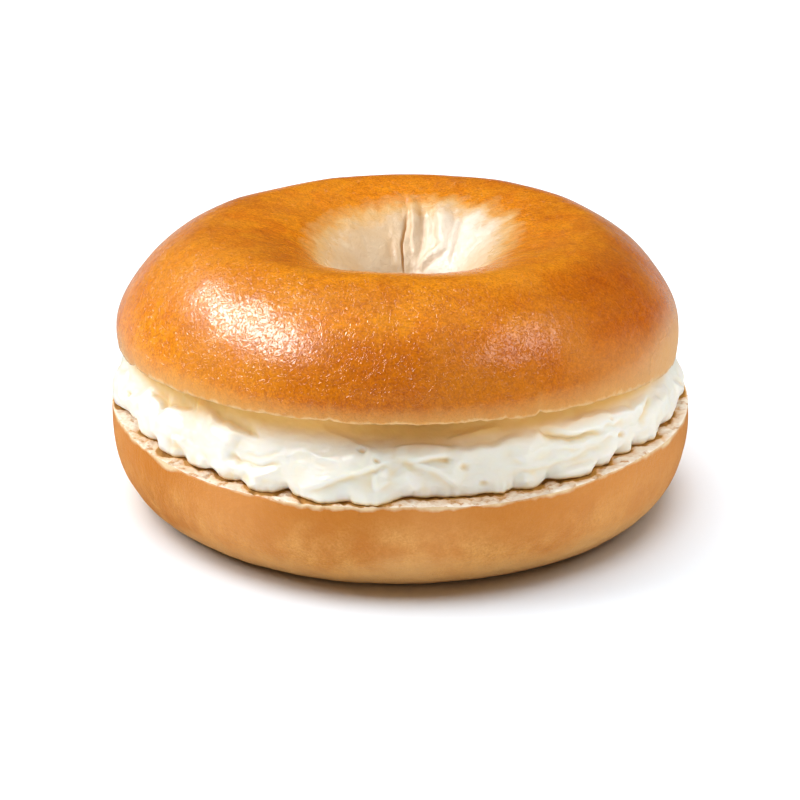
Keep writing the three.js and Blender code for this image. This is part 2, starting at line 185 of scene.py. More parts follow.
def noise(points, grain, seed):
    """Smooth gradient noise, about -1 to 1, with features about one grain across."""
    draws = np.random.default_rng(seed)
    order = draws.permutation(256)
    slopes = draws.normal(size=(256, 3))
    slopes /= np.linalg.norm(slopes, axis=1, keepdims=True)
    place = np.asarray(points, float) / grain
    cell = np.floor(place).astype(int)
    inside = place - cell
    fade = inside ** 3 * (inside * (inside * 6 - 15) + 10)
    total = np.zeros(place.shape[:-1])
    for corner in np.ndindex(2, 2, 2):
        at = cell + corner
        key = order[(order[(order[at[..., 0] & 255] + at[..., 1]) & 255] + at[..., 2]) & 255]
        slope = (slopes[key] * (inside - corner)).sum(-1)
        total += slope * np.prod(np.where(corner, fade, 1 - fade), -1)
    return total * 1.5


def layered(points, table):
    """Layers of noise on top of each other: (depth, grain, seed)."""
    return sum(depth * noise(points, grain, seed) for depth, grain, seed in table)


def pitted(points, table):
    """How deep pores are: (depth, grain, seed, the noise at which they start)."""
    total = 0
    for depth, grain, seed, start in table:
        total = total + depth * np.clip(noise(points, grain, seed) - start, 0, 1)
    return total


def between(count):
    """Evenly spaced values between 0 and 1, without these two."""
    return np.linspace(0, 1, count + 2)[1:-1]


def superellipse(t, fullness):
    """A quarter from its level end (t = 0) to its upright end (t = 1): (rise, reach)."""
    angle = t * math.pi / 2
    return (np.sin(angle) + TINY) ** (2 / fullness), (np.cos(angle) + TINY) ** (2 / fullness)


def even_steps(curve, count, include_end=False, samples=400):
    """Values of t from 0 to 1 that are evenly spaced along a curve (t -> (r, z))."""
    t = np.linspace(0, 1, samples)
    r, z = curve(t)
    reach = np.concatenate([[0], np.cumsum(np.hypot(np.diff(r), np.diff(z)))])
    wanted = np.linspace(0, reach[-1], count, endpoint=include_end)
    return np.interp(wanted, reach, t)


def soften(values, passes=30):
    """Evens out each section between its first and last point."""
    for _ in range(passes):
        values[:, 1:-1] = 0.5 * values[:, 1:-1] + 0.25 * (values[:, :-2] + values[:, 2:])
    return values


def blurred(values, around, along):
    """The mean over a window of rows and columns, each this many steps to either side."""
    for axis, reach in ((0, around), (1, along)):
        shifts = range(-reach, reach + 1)
        values = sum(np.roll(values, shift, axis) for shift in shifts) / len(shifts)
    return values


def rounded_off(curve, azimuth, half_window, finest=0.6):
    """A curve (azimuth in radians -> value) with its corners rounded off over a window in degrees."""
    reach = max(8, round(half_window / finest))
    shares = np.arange(-reach, reach + 1)
    reads = [curve(azimuth + math.radians(half_window) * share / reach) for share in shares]
    return np.average(reads, axis=0, weights=reach + 1 - np.abs(shares))


def along_spine(arc, rise, spine):
    """The way to a bent line, its side (1 to the left of its run), and how far along it, 0 to 1."""
    spine = np.array(spine, float)
    lengths = np.linalg.norm(np.diff(spine, axis=0), axis=1)
    before = np.concatenate([[0], np.cumsum(lengths)])
    nearest = np.full(arc.shape, np.inf)
    side, travel = np.zeros(arc.shape), np.zeros(arc.shape)
    for start, step, length, done in zip(spine[:-1], np.diff(spine, axis=0), lengths, before):
        x, y = arc - start[0], rise - start[1]
        part = np.clip((x * step[0] + y * step[1]) / length ** 2, 0, 1)
        away = np.hypot(x - part * step[0], y - part * step[1])
        closer = away < nearest
        nearest = np.where(closer, away, nearest)
        side = np.where(closer, np.sign(step[0] * y - step[1] * x), side)
        travel = np.where(closer, (done + part * length) / before[-1], travel)
    return nearest, side, travel


# ---- Ring meshes ----

def azimuths(steps):
    return np.arange(steps) * TURN / steps


def on_circle(azimuth, radius):
    """Where a point at a radius is, seen from above."""
    return radius * np.sin(azimuth), -radius * np.cos(azimuth)


def ring_points(azimuth, radius, height):
    """Points (steps, around, 3) from arrays of radii and heights (steps, around)."""
    return np.stack(np.broadcast_arrays(*on_circle(azimuth[:, None], radius), height), -1)


def normals_of(points):
    """Outward normals of a grid whose sections run clockwise where the axis is on their left."""
    onward = np.roll(points, -1, 0) - np.roll(points, 1, 0)
    round_section = np.roll(points, -1, 1) - np.roll(points, 1, 1)
    normal = np.cross(round_section, onward)
    return normal / np.maximum(np.linalg.norm(normal, axis=-1, keepdims=True), TINY)


def ring_object(name, points, material_index, fields, body, node, slot, materials):
    """A closed ring mesh from a grid of points, with its fields as attributes of its points."""
    steps, around = points.shape[:2]
    index = np.arange(steps * around).reshape(steps, around)
    onward, along = np.roll(index, -1, 0), np.roll(index, -1, 1)
    corner = np.roll(onward, -1, 1)
    quads = np.stack([index, along, corner, onward], -1).reshape(-1, 4)

    def on_grid(values, kind):
        return np.broadcast_to(values, index.shape).reshape(-1).astype(kind)

    mesh = bpy.data.meshes.new(name)
    mesh.vertices.add(steps * around)
    placed = (points + TO_FRAME) * MM
    mesh.vertices.foreach_set("co", placed.reshape(-1).astype(np.float32))
    mesh.loops.add(quads.size)
    mesh.loops.foreach_set("vertex_index", quads.reshape(-1).astype(np.int32))
    mesh.polygons.add(len(quads))
    mesh.polygons.foreach_set("loop_start", np.arange(0, quads.size, 4, dtype=np.int32))
    mesh.polygons.foreach_set("use_smooth", np.ones(len(quads), bool))
    for material in materials:
        mesh.materials.append(material)
    mesh.polygons.foreach_set("material_index", on_grid(material_index, np.int32))
    for field, values in fields.items():
        attribute = mesh.attributes.new(field, "FLOAT", "POINT")
        attribute.data.foreach_set("value", on_grid(values, np.float32))
    mesh.update()
    mesh.validate()
    piece = bpy.data.objects.new(name, mesh)
    bpy.context.scene.collection.objects.link(piece)
    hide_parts(node)
    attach(piece, body)
    return piece


# ---- The bottom half ----

def bottom_cut(x, y):
    """How high the cut face of the bottom half is."""
    azimuth, reach = np.arctan2(x, -y), np.hypot(x, y)
    rise = patches(CUT_RISES, azimuth) * ease(CUT_RISE_START, BAGEL_RADIUS, reach)
    return BOTTOM["cut_height"] - y * math.tan(BOTTOM["cut_slope"]) + rise


def bottom_sections(azimuth, rows):
    """Radii and heights over the cut face, down the side, along the base and up the hole."""
    b = BOTTOM
    a = azimuth[:, None]
    outline = waves(OUTLINE_WAVES, a) + patches(BOTTOM_BULGES, a)
    rim_radius = BAGEL_RADIUS + outline
    flat_radius = b["flat_radius"] + b["flat_waviness"] * outline

    covered = np.linspace(0, rows["covered_share"], rows["covered"], endpoint=False)
    face_t = np.concatenate([covered, np.linspace(rows["covered_share"], 1, rows["bare"])])
    face_r = b["hole_radius"] + (rim_radius - b["hole_radius"]) * face_t
    face_z = bottom_cut(*on_circle(a, face_r))

    upright_t = between(rows["upright"])
    upright_r = rim_radius + b["overhang"] * upright_t
    upright_z = face_z[:, -1:] + (b["bulge_height"] - face_z[:, -1:]) * upright_t
    rise, reach = superellipse(1 - np.linspace(0, 1, rows["side"] + 1)[1:], fullness=2)   # a circle
    side_r = flat_radius + (rim_radius + b["overhang"] - flat_radius) * rise
    side_z = np.broadcast_to(b["bulge_height"] * (1 - reach), side_r.shape)

    base_r = flat_radius + (b["hole_foot_radius"] - flat_radius) * between(rows["base"])
    hole_t = np.linspace(0, 1, rows["hole"], endpoint=False)
    widening = (1 - np.sin(hole_t * math.pi / 2)) * (b["hole_foot_radius"] - b["hole_radius"])
    hole_r = np.broadcast_to(b["hole_radius"] + widening, (len(azimuth), len(hole_t)))
    hole_z = face_z[:, :1] * hole_t

    radius = np.concatenate([face_r, upright_r, side_r, base_r, hole_r], 1)
    height = np.concatenate([face_z, upright_z, side_z, np.zeros_like(base_r), hole_z], 1)
    return radius, height


def make_bottom(steps=900):
    """Its points, the material of each face (1 is crumb), and its fields."""
    rows = dict(covered_share=0.76, covered=9, bare=28, upright=5, side=39, base=10, hole=10)
    azimuth = azimuths(steps)
    a = azimuth[:, None]
    radius, height = bottom_sections(azimuth, rows)
    rim = rows["covered"] + rows["bare"] - 1
    side_end = rim + rows["upright"] + rows["side"]
    column = np.arange(radius.shape[1])[None, :]
    points = ring_points(azimuth, radius, height)
    normal = normals_of(points)

    on_face = ((column > 0) & (column < rim)).astype(float)
    on_crust = ease(rim, rim + 6, column) * ease(side_end + 2, side_end - 5, column)
    outside_spread = ease(0.7, 0.85, radius / radius[:, rim:rim + 1])
    pores = pitted(points, BOTTOM_PORES)
    shift = on_crust * layered(points, BOTTOM_DENTS)
    shift = shift - on_face * outside_spread * (pores + layered(points, FACE_DENTS))
    points = points + normal * shift[..., None]
    points[..., 2] = np.maximum(points[..., 2], 0)

    worn, least_step = 0.1, 0.2
    points[:, rim, 2] += layered(points[:, rim], RIM_TEAR) - worn
    points[:, rim + 1, 2] = np.minimum(points[:, rim + 1, 2], points[:, rim, 2] - least_step)

    below_cut = bottom_cut(points[..., 0], points[..., 1]) - points[..., 2]
    # Painted shade: the crumb browned just past the spread's edge, in the gap under it.
    spread_edge = rounded_off(edge_radius, azimuth, EDGE_SOFTNESS)[:, None]
    past_spread = radius - spread_edge + layered(points, GAP_SHADE_WANDER)
    gap_shade_layers = [strength * ease(end, full, past_spread) for end, full, strength in GAP_SHADES]
    fields = {
        "below_rim": np.where(column > rim, below_cut, 0.0),
        # Painted shade in the crumb's pores.
        "painted_pore_shade": np.clip(pores, 0, 1) * on_face,
        "painted_gap_shade": np.max(gap_shade_layers, axis=0) * on_face,
        # Painted light on the lit sides of the bottom half.
        "painted_side_light": patches(PAINTED_LIGHT_BOTTOM, a),
        "drawn_out": patches(SCRATCHED_BOTTOM, a),
    }
    return points, column < rim, fields


# ---- The top half ----

def seat_top(points):
    """Turns and lifts points from the top half's own frame to where it sits."""
    tilt, roll = -TOP["tilt"], TOP["roll"]
    x, y, z = points[..., 0], points[..., 1], points[..., 2]
    x, z = x * math.cos(roll) + z * math.sin(roll), z * math.cos(roll) - x * math.sin(roll)
    y, z = y * math.cos(tilt) - z * math.sin(tilt), y * math.sin(tilt) + z * math.cos(tilt)
    return np.stack([x, y, z], -1) + np.array(TOP["seat"])


def top_cut(x, y):
    """How high the cut face of the top half is where it sits."""
    up = seat_top(np.array([0.0, 0.0, 1.0])) - np.array(TOP["seat"])
    seat = TOP["seat"]
    return seat[2] - (up[0] * (x - seat[0]) + up[1] * (y - seat[1])) / up[2]


def top_sections(azimuth, inner_rows, outer_rows):
    """Radii and heights up the hole, over the ridge, down to the cut and back along it, and how many
    columns the skin has."""
    d = TOP
    a = azimuth[:, None]
    outline = waves(OUTLINE_WAVES, a)
    ridge_height = d["height"] + waves(DOME_WAVES, a)
    widest, cut_radius = d["widest_radius"] + outline, d["cut_radius"] + outline

    def inner(t, fullness, top):
        rise, reach = superellipse(t, fullness)
        radius = d["ridge_radius"] - (d["ridge_radius"] - d["hole_radius"]) * reach
        return radius, d["throat_height"] + (top - d["throat_height"]) * rise

    def outer(t, outside, top):
        rise, reach = superellipse(t, d["outer_fullness"])
        radius = d["ridge_radius"] + (outside - d["ridge_radius"]) * rise
        return radius, d["widest_height"] + (top - d["widest_height"]) * reach

    inner_t = even_steps(lambda t: inner(t, 2, d["height"]), inner_rows)    # 2 is a circle
    outer_t = even_steps(lambda t: outer(t, d["widest_radius"], d["height"]), outer_rows, include_end=True)
    inner_fullness = d["inner_fullness"] + waves(INNER_FULLNESS_WAVES, a)
    inner_r, inner_z = inner(inner_t, inner_fullness, ridge_height)
    inner_r = inner_r - patches(HOLE_SWELLS, a) * np.sin(math.pi * np.sqrt(inner_t))
    outer_r, outer_z = outer(outer_t, widest, ridge_height)
    under_t = np.linspace(0, 1, 9)[1:]
    under_r = cut_radius + (widest - cut_radius) * (1 - under_t ** 2)
    under_z = np.broadcast_to(d["widest_height"] * (1 - under_t), under_r.shape)
    skin_r = soften(np.concatenate([inner_r, outer_r, under_r], 1))
    skin_z = soften(np.concatenate([inner_z, outer_z, under_z], 1))

    shown, shown_rows, hidden_rows = 0.3, 19, 7
    shown_t = np.linspace(0, shown, shown_rows + 1)[1:]
    hidden_t = np.linspace(shown, 1, hidden_rows + 1)[1:]
    hole_edge = d["hole_radius"] + d["hole_flare"]
    face_r = cut_radius + (hole_edge - cut_radius) * np.concatenate([shown_t, hidden_t])
    wall_in, wall_up = np.array([[0.5, 0.9]]), np.array([[0.35, 0.7]])
    wall_r = np.broadcast_to(hole_edge - d["hole_flare"] * wall_in, (len(azimuth), 2))
    wall_z = np.broadcast_to(d["throat_height"] * wall_up, (len(azimuth), 2))

    radius = np.concatenate([skin_r, face_r, wall_r], 1)
    height = np.concatenate([skin_z, np.zeros_like(face_r), wall_z], 1)
    return radius, height, skin_r.shape[1]


def hole_relief(azimuth, climb):
    """How far the skin of the hole stands out, at heights climbed from the throat in mm."""
    x, y = HOLE_CIRCLE * np.cos(azimuth), HOLE_CIRCLE * np.sin(azimuth)
    place = np.stack(np.broadcast_arrays(x, y, climb), -1)
    wander = layered(place, HOLE_WANDER)
    relief = np.zeros(climb.shape)
    for proud, left, right, spine in HOLE_FOLDS:
        middle = math.radians(spine[0][0])
        line = [(turn_to(middle, math.radians(at)) * HOLE_CIRCLE, level) for at, level in spine]
        arc = turn_to(middle, azimuth) * HOLE_CIRCLE + wander
        near = np.abs(arc).min(1) < HOLE_FOLD_REACH
        way, side, travel = along_spine(arc[near], climb[near], line)
        blunted = np.sqrt(way ** 2 + 0.02) - 0.14      # rounds off its crest
        profile = ease(1, 0, blunted / np.where(side > 0, left, right))
        ends = np.sin(math.pi * np.clip(travel, 0.02, 0.98)) ** 0.7
        relief[near] += proud * profile * ends
    return relief


def tear_and_sag(points, edge, azimuth, torn_rows=4, sagging_rows=18):
    """Tears the lowest rows of the crown's skin, which end at the edge, and lets them sag."""
    tear = layered(points[:, edge], EDGE_TEAR) + pitted(points[:, edge], EDGE_NOTCHES)
    for back in range(torn_rows):
        points[:, edge - back, 2] += tear * (1 - back / torn_rows) ** 2
    sag = patches(EDGE_SAGS, azimuth)
    for back in range(sagging_rows):
        points[:, edge - back, 2] -= sag * (1 - back / sagging_rows) ** 1.5
    points[:, edge + 1, 2] = points[:, edge, 2] + 0.1


def make_top(steps=640, inner_rows=64, outer_rows=56):
    """Its points, the material of each face (1 is crumb), and its fields."""
    azimuth = azimuths(steps)
    a = azimuth[:, None]
    radius, height, skin_count = top_sections(azimuth, inner_rows, outer_rows)
    edge = skin_count - 1
    wall_start = radius.shape[1] - 2
    column = np.arange(radius.shape[1])[None, :]
    on_skin = column < skin_count
    points = ring_points(azimuth, radius, height)
    normal = normals_of(points)

    steps_up = np.hypot(np.diff(radius[:, :inner_rows]), np.diff(height[:, :inner_rows]))
    climb = np.concatenate([np.zeros((steps, 1)), np.cumsum(steps_up, 1)], 1)
    folds = np.zeros(radius.shape)
    folds[:, :inner_rows] = hole_relief(a, climb)
    circle = np.stack([STREAK_CIRCLE * np.cos(a), STREAK_CIRCLE * np.sin(a), np.zeros_like(a)], -1)
    streaks = layered(circle, STREAKS_ON_CIRCLE) + layered(points, STREAKS_IN_PLACE)
    streaks = streaks * (0.3 + patches(STREAKED_HOLE, a))
    crinkle = 0.3 * (0.4 - np.abs(noise(points, 3.0, 44))) + layered(points, SKIN_CRINKLES)
    in_hole = ease(inner_rows * 0.95, inner_rows * 0.45, column)
    outside = ease(inner_rows * 0.35, inner_rows * 0.8, column)
    shift = layered(points, TOP_DENTS) * (0.5 + 0.5 * outside)
    shift = shift + (STREAK_DEPTH * streaks + crinkle) * in_hole + folds
    shift = shift * ease(-1, 4, column) * ease(skin_count, skin_count - 6, column)
    on_face = (column >= skin_count) & (column < wall_start - 1)
    pores = pitted(points, TOP_PORES)
    points = points + normal * (shift - on_face * pores)[..., None]
    tear_and_sag(points, edge, azimuth)

    down = (column - inner_rows) / outer_rows
    # Painted shade: the crown darker on its right side and at its low front.
    baked = patches(PAINTED_SHADE_SIDE, a) * ease(-0.05, 0.3, down) + patches(PAINTED_SHADE_FRONT, a) * ease(0.4, 0.7, down)
    above_edge = np.where(on_skin, points[..., 2] - points[:, edge:edge + 1, 2], 0.0)
    past_pale = np.where(on_skin, radius - PALE_RADIUS - waves(PALE_WAVES, a), 20.0)
    # Painted shade: the sunken creases of the hole's folds browned.
    furrow_shades = np.zeros(radius.shape)
    sunk = (blurred(folds, around=4, along=2) - folds)[:, :inner_rows]
    furrow_shades[:, :inner_rows] = np.clip(sunk / FURROW_SHADE_DEPTH, 0, 1)
    fields = {
        "past_pale": past_pale - STREAK_REACH * streaks,
        "baked": np.clip(baked, 0, 1),
        # Painted light on the crown's front ridge.
        "painted_ridge_light": patches(PAINTED_LIGHT_FRONT, a) * ease(-0.3, -0.05, down) * ease(0.5, 0.15, down),
        "painted_furrow_shade": furrow_shades,
        # Painted light on the right wall of the hole.
        "painted_hole_light": patches(PAINTED_LIGHT_HOLE, a),
        "matt": patches(MATT_SIDE, a) * ease(13, 4, above_edge + layered(points, MATT_WANDER)),
        "above_edge": above_edge / (1 + patches(PALE_EDGES, a)),
        # Painted shade in the crumb's pores.
        "painted_pore_shade": np.clip(pores, 0, 1) * on_face,
        "painted_gap_shade": 0.0,
    }
    return seat_top(points), (column >= edge) & (column < wall_start - 1), fields


# ---- The cream cheese ----

# The lobes of its edge on the bottom half: (azimuth and half-width in degrees, reach in mm)
EDGE_LOBES = (
    (-99, 7, 2), (-88, 8, 5), (-68, 4.5, 3), (-58, 4.5, 3), (-49, 4, 2), (-39, 4, 2.5), (-30, 5, 4),
    (-16, 8, 4.8), (-6, 7, 5.1), (10, 20, 1.2), (21, 2.5, 2), (29, 4, 2), (40, 6, 3.8), (48, 3.5, 3),
    (56, 3, 2.5), (65, 6, 3.5), (79, 8, 3), (93, 5.5, 5), (101, 6, 2.5),
)
ROUND_LOBES = dict(count=15, first=108, last=258, seed=2718)
EDGE_SOFTNESS = 1.2

# The wall from the side: (azimuth in degrees, how far its crest and its top stand in from the edge,
# how high the crest is, how hollow the shelf above it is)
WALL_KEYS = (
    (-180, 0.6, 2.4, 3.5, 1.0), (-120, 0.2, 2.2, 4.5, 1.0), (-98, 0.4, 3.0, 5.0, 1.0),
    (-86, -1.2, 2.4, 6.5, 1.0), (-78, -1.2, 3.0, 5.5, 1.0), (-66, 0.0, 5.5, 6.0, 1.2),
    (-58, 0.7, 7.5, 6.5, 1.3), (-50, 1.2, 5.0, 7.0, 1.0), (-44, 1.5, 5.5, 7.0, 1.1),
    (-18, 2.8, 8.5, 7.5, 1.1), (-9, 3.0, 13.5, 8.8, 1.5), (0, 3.2, 17.0, 10.0, 2.0),
    (10, 3.0, 17.0, 10.5, 1.9), (18, 2.8, 12.0, 11.0, 1.3), (26, 2.8, 8.5, 12.0, 1.1),
    (48, 2.4, 6.5, 9.5, 1.1), (72, 0.4, 3.4, 6.5, 1.0), (88, -0.6, 1.8, 6.0, 1.0),
    (110, 0.3, 2.2, 5.0, 1.0),
)
CREST_INSET, TOP_INSET, CREST_HEIGHT, SHELF_HOLLOW = 1, 2, 3, 4
WALL_SOFTNESS = 10
WALL_FOOT_SOFTNESS = 16

# Ridges and creases left by the knife, given like the folds in the hole. Their points are
# (azimuth in degrees, height up the wall).
FOLDS = (
    (1.2, 3, 3, ((-82, 6.5), (-71, 6.5), (-53, 6))),
    (0.9, 1, 2, ((-56, 1.5), (-55, 4), (-51, 5))),
    (1.8, 1.6, 1.6, ((-50, 11), (-51, 13), (-52, 15))),
    (-2.0, 2.4, 1.0, ((-70, 9), (-62, 10), (-53, 11))),
    (-2.0, 2.4, 1.0, ((-49, 12.5), (-42, 11), (-32, 10.5))),
    (1.5, 5, 5, ((-50, 11.5), (-42, 7.5), (-37, 6.5))),
    (0.9, 2, 1.5, ((-49, 1), (-37, 3), (-25, 4.5))),
    (0.7, 1.5, 1.5, ((-45, 0.5), (-46, 3))),
    (-1.1, 0.8, 1.6, ((-39, 6), (-36, 4.5), (-31, 5), (-25, 6))),
    (-0.5, 0.7, 1.2, ((-36, 6), (-30, 7), (-26, 7.5))),
    (0.7, 1.5, 1.5, ((-35, 0), (-36, 3))),
    (0.9, 1.6, 1.6, ((-30, 1), (-31, 3.5))),
    (1.7, 6, 1, ((-21, 2), (-11, 6), (-5, 8.5), (-1, 8.5))),
    (1.0, 1.4, 6, ((-19, 15), (-9, 11.5), (-3, 8.5))),
    (1.3, 1, 3.5, ((-4, 3), (-5, 6), (-3, 7.5))),
    (1.0, 1.2, 2.6, ((-2, 10), (3, 11), (12, 9))),
    (1.2, 2.5, 4, ((0, 6.5), (2, 4), (4, 1.5))),
    (-1.2, 0.8, 1.4, ((0, 7.5), (6, 7), (11, 7.5))),
    (1.6, 6, 1, ((1, 8), (7, 6), (13, 2.5))),
    (1.2, 1.3, 4, ((10, 9.5), (15, 8.5), (22, 9), (30, 10.5))),
    (1.0, 1.2, 3, ((11, 12), (19, 13), (25, 13))),
    (-0.6, 0.7, 2.2, ((25, 4), (31, 3.5), (44, 4))),
    (0.9, 4.5, 3.5, ((26, 5), (29, 8), (33, 11))),
    (0.8, 1.8, 1.8, ((28, 1), (27, 3.5))),
    (-1.7, 0.8, 1.6, ((31, 11), (37, 9), (42, 8), (50, 6))),
    (1.0, 4, 1, ((32, 12), (38, 10), (45, 8), (53, 7))),
    (1.0, 3, 1.4, ((31, 1.5), (46, 2), (53, 2.5), (56, 4.5))),
    (-0.5, 0.7, 1.6, ((35, 2.5), (40, 3), (46, 2.5))),
    (-0.7, 0.8, 2, ((35, 6.5), (46, 5), (54, 4.5))),
    (-0.8, 0.7, 1.5, ((37, 8.5), (45, 7.5), (56, 7))),
    (-0.5, 0.7, 1.6, ((37, 4), (42, 4.5), (48, 4))),
    (1.3, 1.3, 2.5, ((38, 11), (46, 10), (57, 8), (68, 8.5))),
    (0.8, 1.5, 3, ((39, 7.5), (48, 6.5), (55, 6))),
    (-0.8, 1, 1.6, ((60, 4), (64, 7), (68, 8))),
    (1.2, 3, 2.5, ((63, 1), (66, 4.5), (77, 7.5))),
)
FOLD_PROUD = 0.65
DEGREES_TO_A_MM = 1.1
ROUND_FOLDS = dict(count=46, first=84, last=282, seed=4177)

# Pits: (azimuth in degrees, height up the wall, width, depth)
PITS = (
    (-76, 7, 0.9, 0.9), (-55, 2.5, 2, 1.3), (-8, 10.5, 0.7, 0.9), (-5, 9, 0.7, 0.9), (10, 7.5, 0.9, 0.6),
    (14, 6, 0.9, 0.6), (18, 2.5, 0.9, 0.6), (52, 8.5, 0.6, 0.5), (54, 4.5, 0.7, 0.9),
)

# Its unevenness, as layers of noise: (depth and grain in mm, seed)
RAGGED_FOOT = ((0.55, 2.6, 75), (0.35, 1.1, 76))
WANDER_ACROSS = ((0.45, 5, 91), (0.15, 1.8, 92))
WANDER_UP = ((0.45, 5, 93), (0.15, 1.8, 94))
SPREAD_DENTS = ((0.14, 4, 81), (0.06, 1.5, 82))
SPREAD_RIPPLES = ((0.3, 8, 95), (0.07, 2.6, 96))


def park_miller(seed):
    """A seeded draw of evenly spread numbers: draw(low, high)."""
    multiplier, modulus = 16807, 2147483647
    state = seed

    def draw(low, high):
        nonlocal state
        state = state * multiplier % modulus
        return low + (high - low) * state / modulus

    return draw


def places_round(table, draw, low, high):
    """Azimuths in degrees, one drawn from the middle part of each equal share of the way round."""
    for k in range(table["count"]):
        yield table["first"] + (table["last"] - table["first"]) * (k + draw(low, high)) / table["count"]


def hidden_lobes():
    draw = park_miller(ROUND_LOBES["seed"])
    return tuple((at, draw(4, 8), draw(1.5, 4)) for at in places_round(ROUND_LOBES, draw, 0.3, 0.7))


ALL_LOBES = EDGE_LOBES + hidden_lobes()


def edge_radius(azimuth):
    """Where the spread ends on the bottom half: rounded lobes that meet in notches."""
    reach = np.zeros_like(azimuth)
    for centre, half_width, length in ALL_LOBES:
        away = turn_to(math.radians(centre), azimuth) / math.radians(half_width)
        reach = np.maximum(reach, length * np.clip(1 - away ** 2, 0, 1) ** 0.7)
    return CHEESE["foot_radius"] + reach


def wall_key(azimuth, column):
    """A column of the wall's table all the way round, with soft corners."""
    table = np.array(WALL_KEYS)

    def between_keys(at):
        return np.interp(np.degrees(at), table[:, 0], table[:, column], period=360)

    return rounded_off(between_keys, azimuth, WALL_SOFTNESS)[:, None]


def cheese_wall(azimuth, rows=84):
    """The bare wall from its top to its foot: radii, heights and lengths up from the foot."""
    steps = len(azimuth)
    a = azimuth[:, None]
    circle = ring_points(azimuth, np.full((steps, 1), CHEESE["foot_radius"]), 0.0)
    foot = rounded_off(edge_radius, azimuth, EDGE_SOFTNESS)[:, None] + layered(circle, RAGGED_FOOT)
    even_foot = rounded_off(edge_radius, azimuth, WALL_FOOT_SOFTNESS)[:, None]
    low = bottom_cut(*on_circle(a, foot))
    crest_r = even_foot - wall_key(azimuth, CREST_INSET)
    top_r = even_foot - wall_key(azimuth, TOP_INSET)
    high = top_cut(*on_circle(a, top_r))
    highest_crest = CHEESE["highest_crest"] * (high - low)
    crest_z = low + np.minimum(wall_key(azimuth, CREST_HEIGHT), highest_crest)

    t = np.linspace(1, 0, rows)[None, :]
    share = CHEESE["crest_share"]
    below, above = np.clip(t / share, 0, 1), np.clip((t - share) / (1 - share), 0, 1)
    skirt = (foot - even_foot) * np.clip(1 - below / CHEESE["skirt_share"], 0, 1)
    radius = even_foot + skirt + (crest_r - even_foot) * np.sin(below * math.pi / 2)
    radius = radius + (top_r - crest_r) * above
    radius = radius + CHEESE["belly"] * np.sin(math.pi * below) ** 0.8 * (below < 1)
    height = low + (crest_z - low) * below + (high - crest_z) * above ** wall_key(azimuth, SHELF_HOLLOW)
    radius, height = soften(radius), soften(height)
    reach = np.hypot(np.diff(radius, axis=1), np.diff(height, axis=1))
    up = np.concatenate([np.cumsum(reach[:, ::-1], 1)[:, ::-1], np.zeros((steps, 1))], 1)
    return radius, height, up


def folds_all_round():
    """Folds at the sides and back, drawn in the style of those at the front."""
    draw = park_miller(ROUND_FOLDS["seed"])
    made = []
    for azimuth in places_round(ROUND_FOLDS, draw, 0.2, 0.8):
        level, heading, bend = draw(1.5, 9), math.radians(draw(-25, 50)), math.radians(draw(-35, 35))
        half = draw(2.5, 6)
        spine = []
        for turn in (-1, 0, 1):
            angle = heading + bend * turn / 2
            across, up = turn * half * math.cos(angle) * DEGREES_TO_A_MM, turn * half * math.sin(angle)
            spine.append((azimuth + across, level + up))
        widths = (draw(0.7, 1.6), draw(2.5, 6))
        if draw(0, 1) < 0.4:
            widths = widths[::-1]
        made.append((draw(0.5, 1.2) * (1 if draw(0, 1) < 0.7 else -0.6), *widths, spine))
    return made


def spread_relief(azimuth, up):
    """How far the spread stands out from its bare wall."""
    circle = CHEESE["foot_radius"]
    turn = TURN * circle
    place = np.stack(np.broadcast_arrays(*on_circle(azimuth, circle), up), -1)
    across = azimuth * circle + layered(place, WANDER_ACROSS)
    level = up + layered(place, WANDER_UP)

    def way_across(middle):
        return (across - middle + turn / 2) % turn - turn / 2

    drawn_out = place * (1, 1, 2.6)
    relief = sum(size * (0.3 - np.abs(noise(drawn_out, grain, seed))) for size, grain, seed in SPREAD_RIPPLES)
    for proud, left, right, spine in (*FOLDS, *folds_all_round()):
        line = [(math.radians(azimuth_at) * circle, level_at) for azimuth_at, level_at in spine]
        middle = sum(point[0] for point in line) / len(line)
        arc = way_across(middle)
        line = [(point[0] - middle, point[1]) for point in line]
        reach = max(left, right) + max(abs(point[0]) for point in line)
        near = np.abs(arc).min(1) < reach
        way, side, travel = along_spine(arc[near], level[near], line)
        blunted = np.sqrt(way ** 2 + 0.04) - 0.2       # rounds off its crest
        profile = np.clip(1 - blunted / np.where(side > 0, left, right), 0, 1) ** 1.4
        ends = np.clip(np.sin(math.pi * np.clip(travel, 0.02, 0.98)) * 1.6, 0, 1)
        relief[near] += FOLD_PROUD * proud * profile * ends
    for centre, level_at, width, depth in PITS:
        arc, rise = way_across(math.radians(centre) * circle), level - level_at
        relief -= depth * np.exp(-((arc / width) ** 2 + (rise / (0.7 * width)) ** 2))
    return relief


def foot_lift(azimuth):
    """How far the foot of the spread stands off the crumb: most in notches and where it is loose."""
    foot = rounded_off(edge_radius, azimuth, EDGE_SOFTNESS)
    even_foot = rounded_off(edge_radius, azimuth, WALL_SOFTNESS)
    circle = ring_points(azimuth, np.full((len(azimuth), 1), 52.0), 0.0)[:, 0]
    in_notches = 0.1 * np.clip(even_foot - foot, 0, 2)
    loose = 0.6 * np.clip(noise(circle, 7, 73) - 0.1, 0, 0.6)
    return (CHEESE["least_lift"] + in_notches + loose)[:, None]


def under_sky(points):
    """How steeply the crown's edge stands over points of the spread, in degrees."""
    reach = np.hypot(points[..., 0], points[..., 1])
    edge_r = TOP["cut_radius"] + 0.8
    edge_z = top_cut(points[..., 0] * edge_r / reach, points[..., 1] * edge_r / reach)
    return np.degrees(np.arctan2(edge_z - points[..., 2], np.maximum(edge_r - reach, 0.01)))


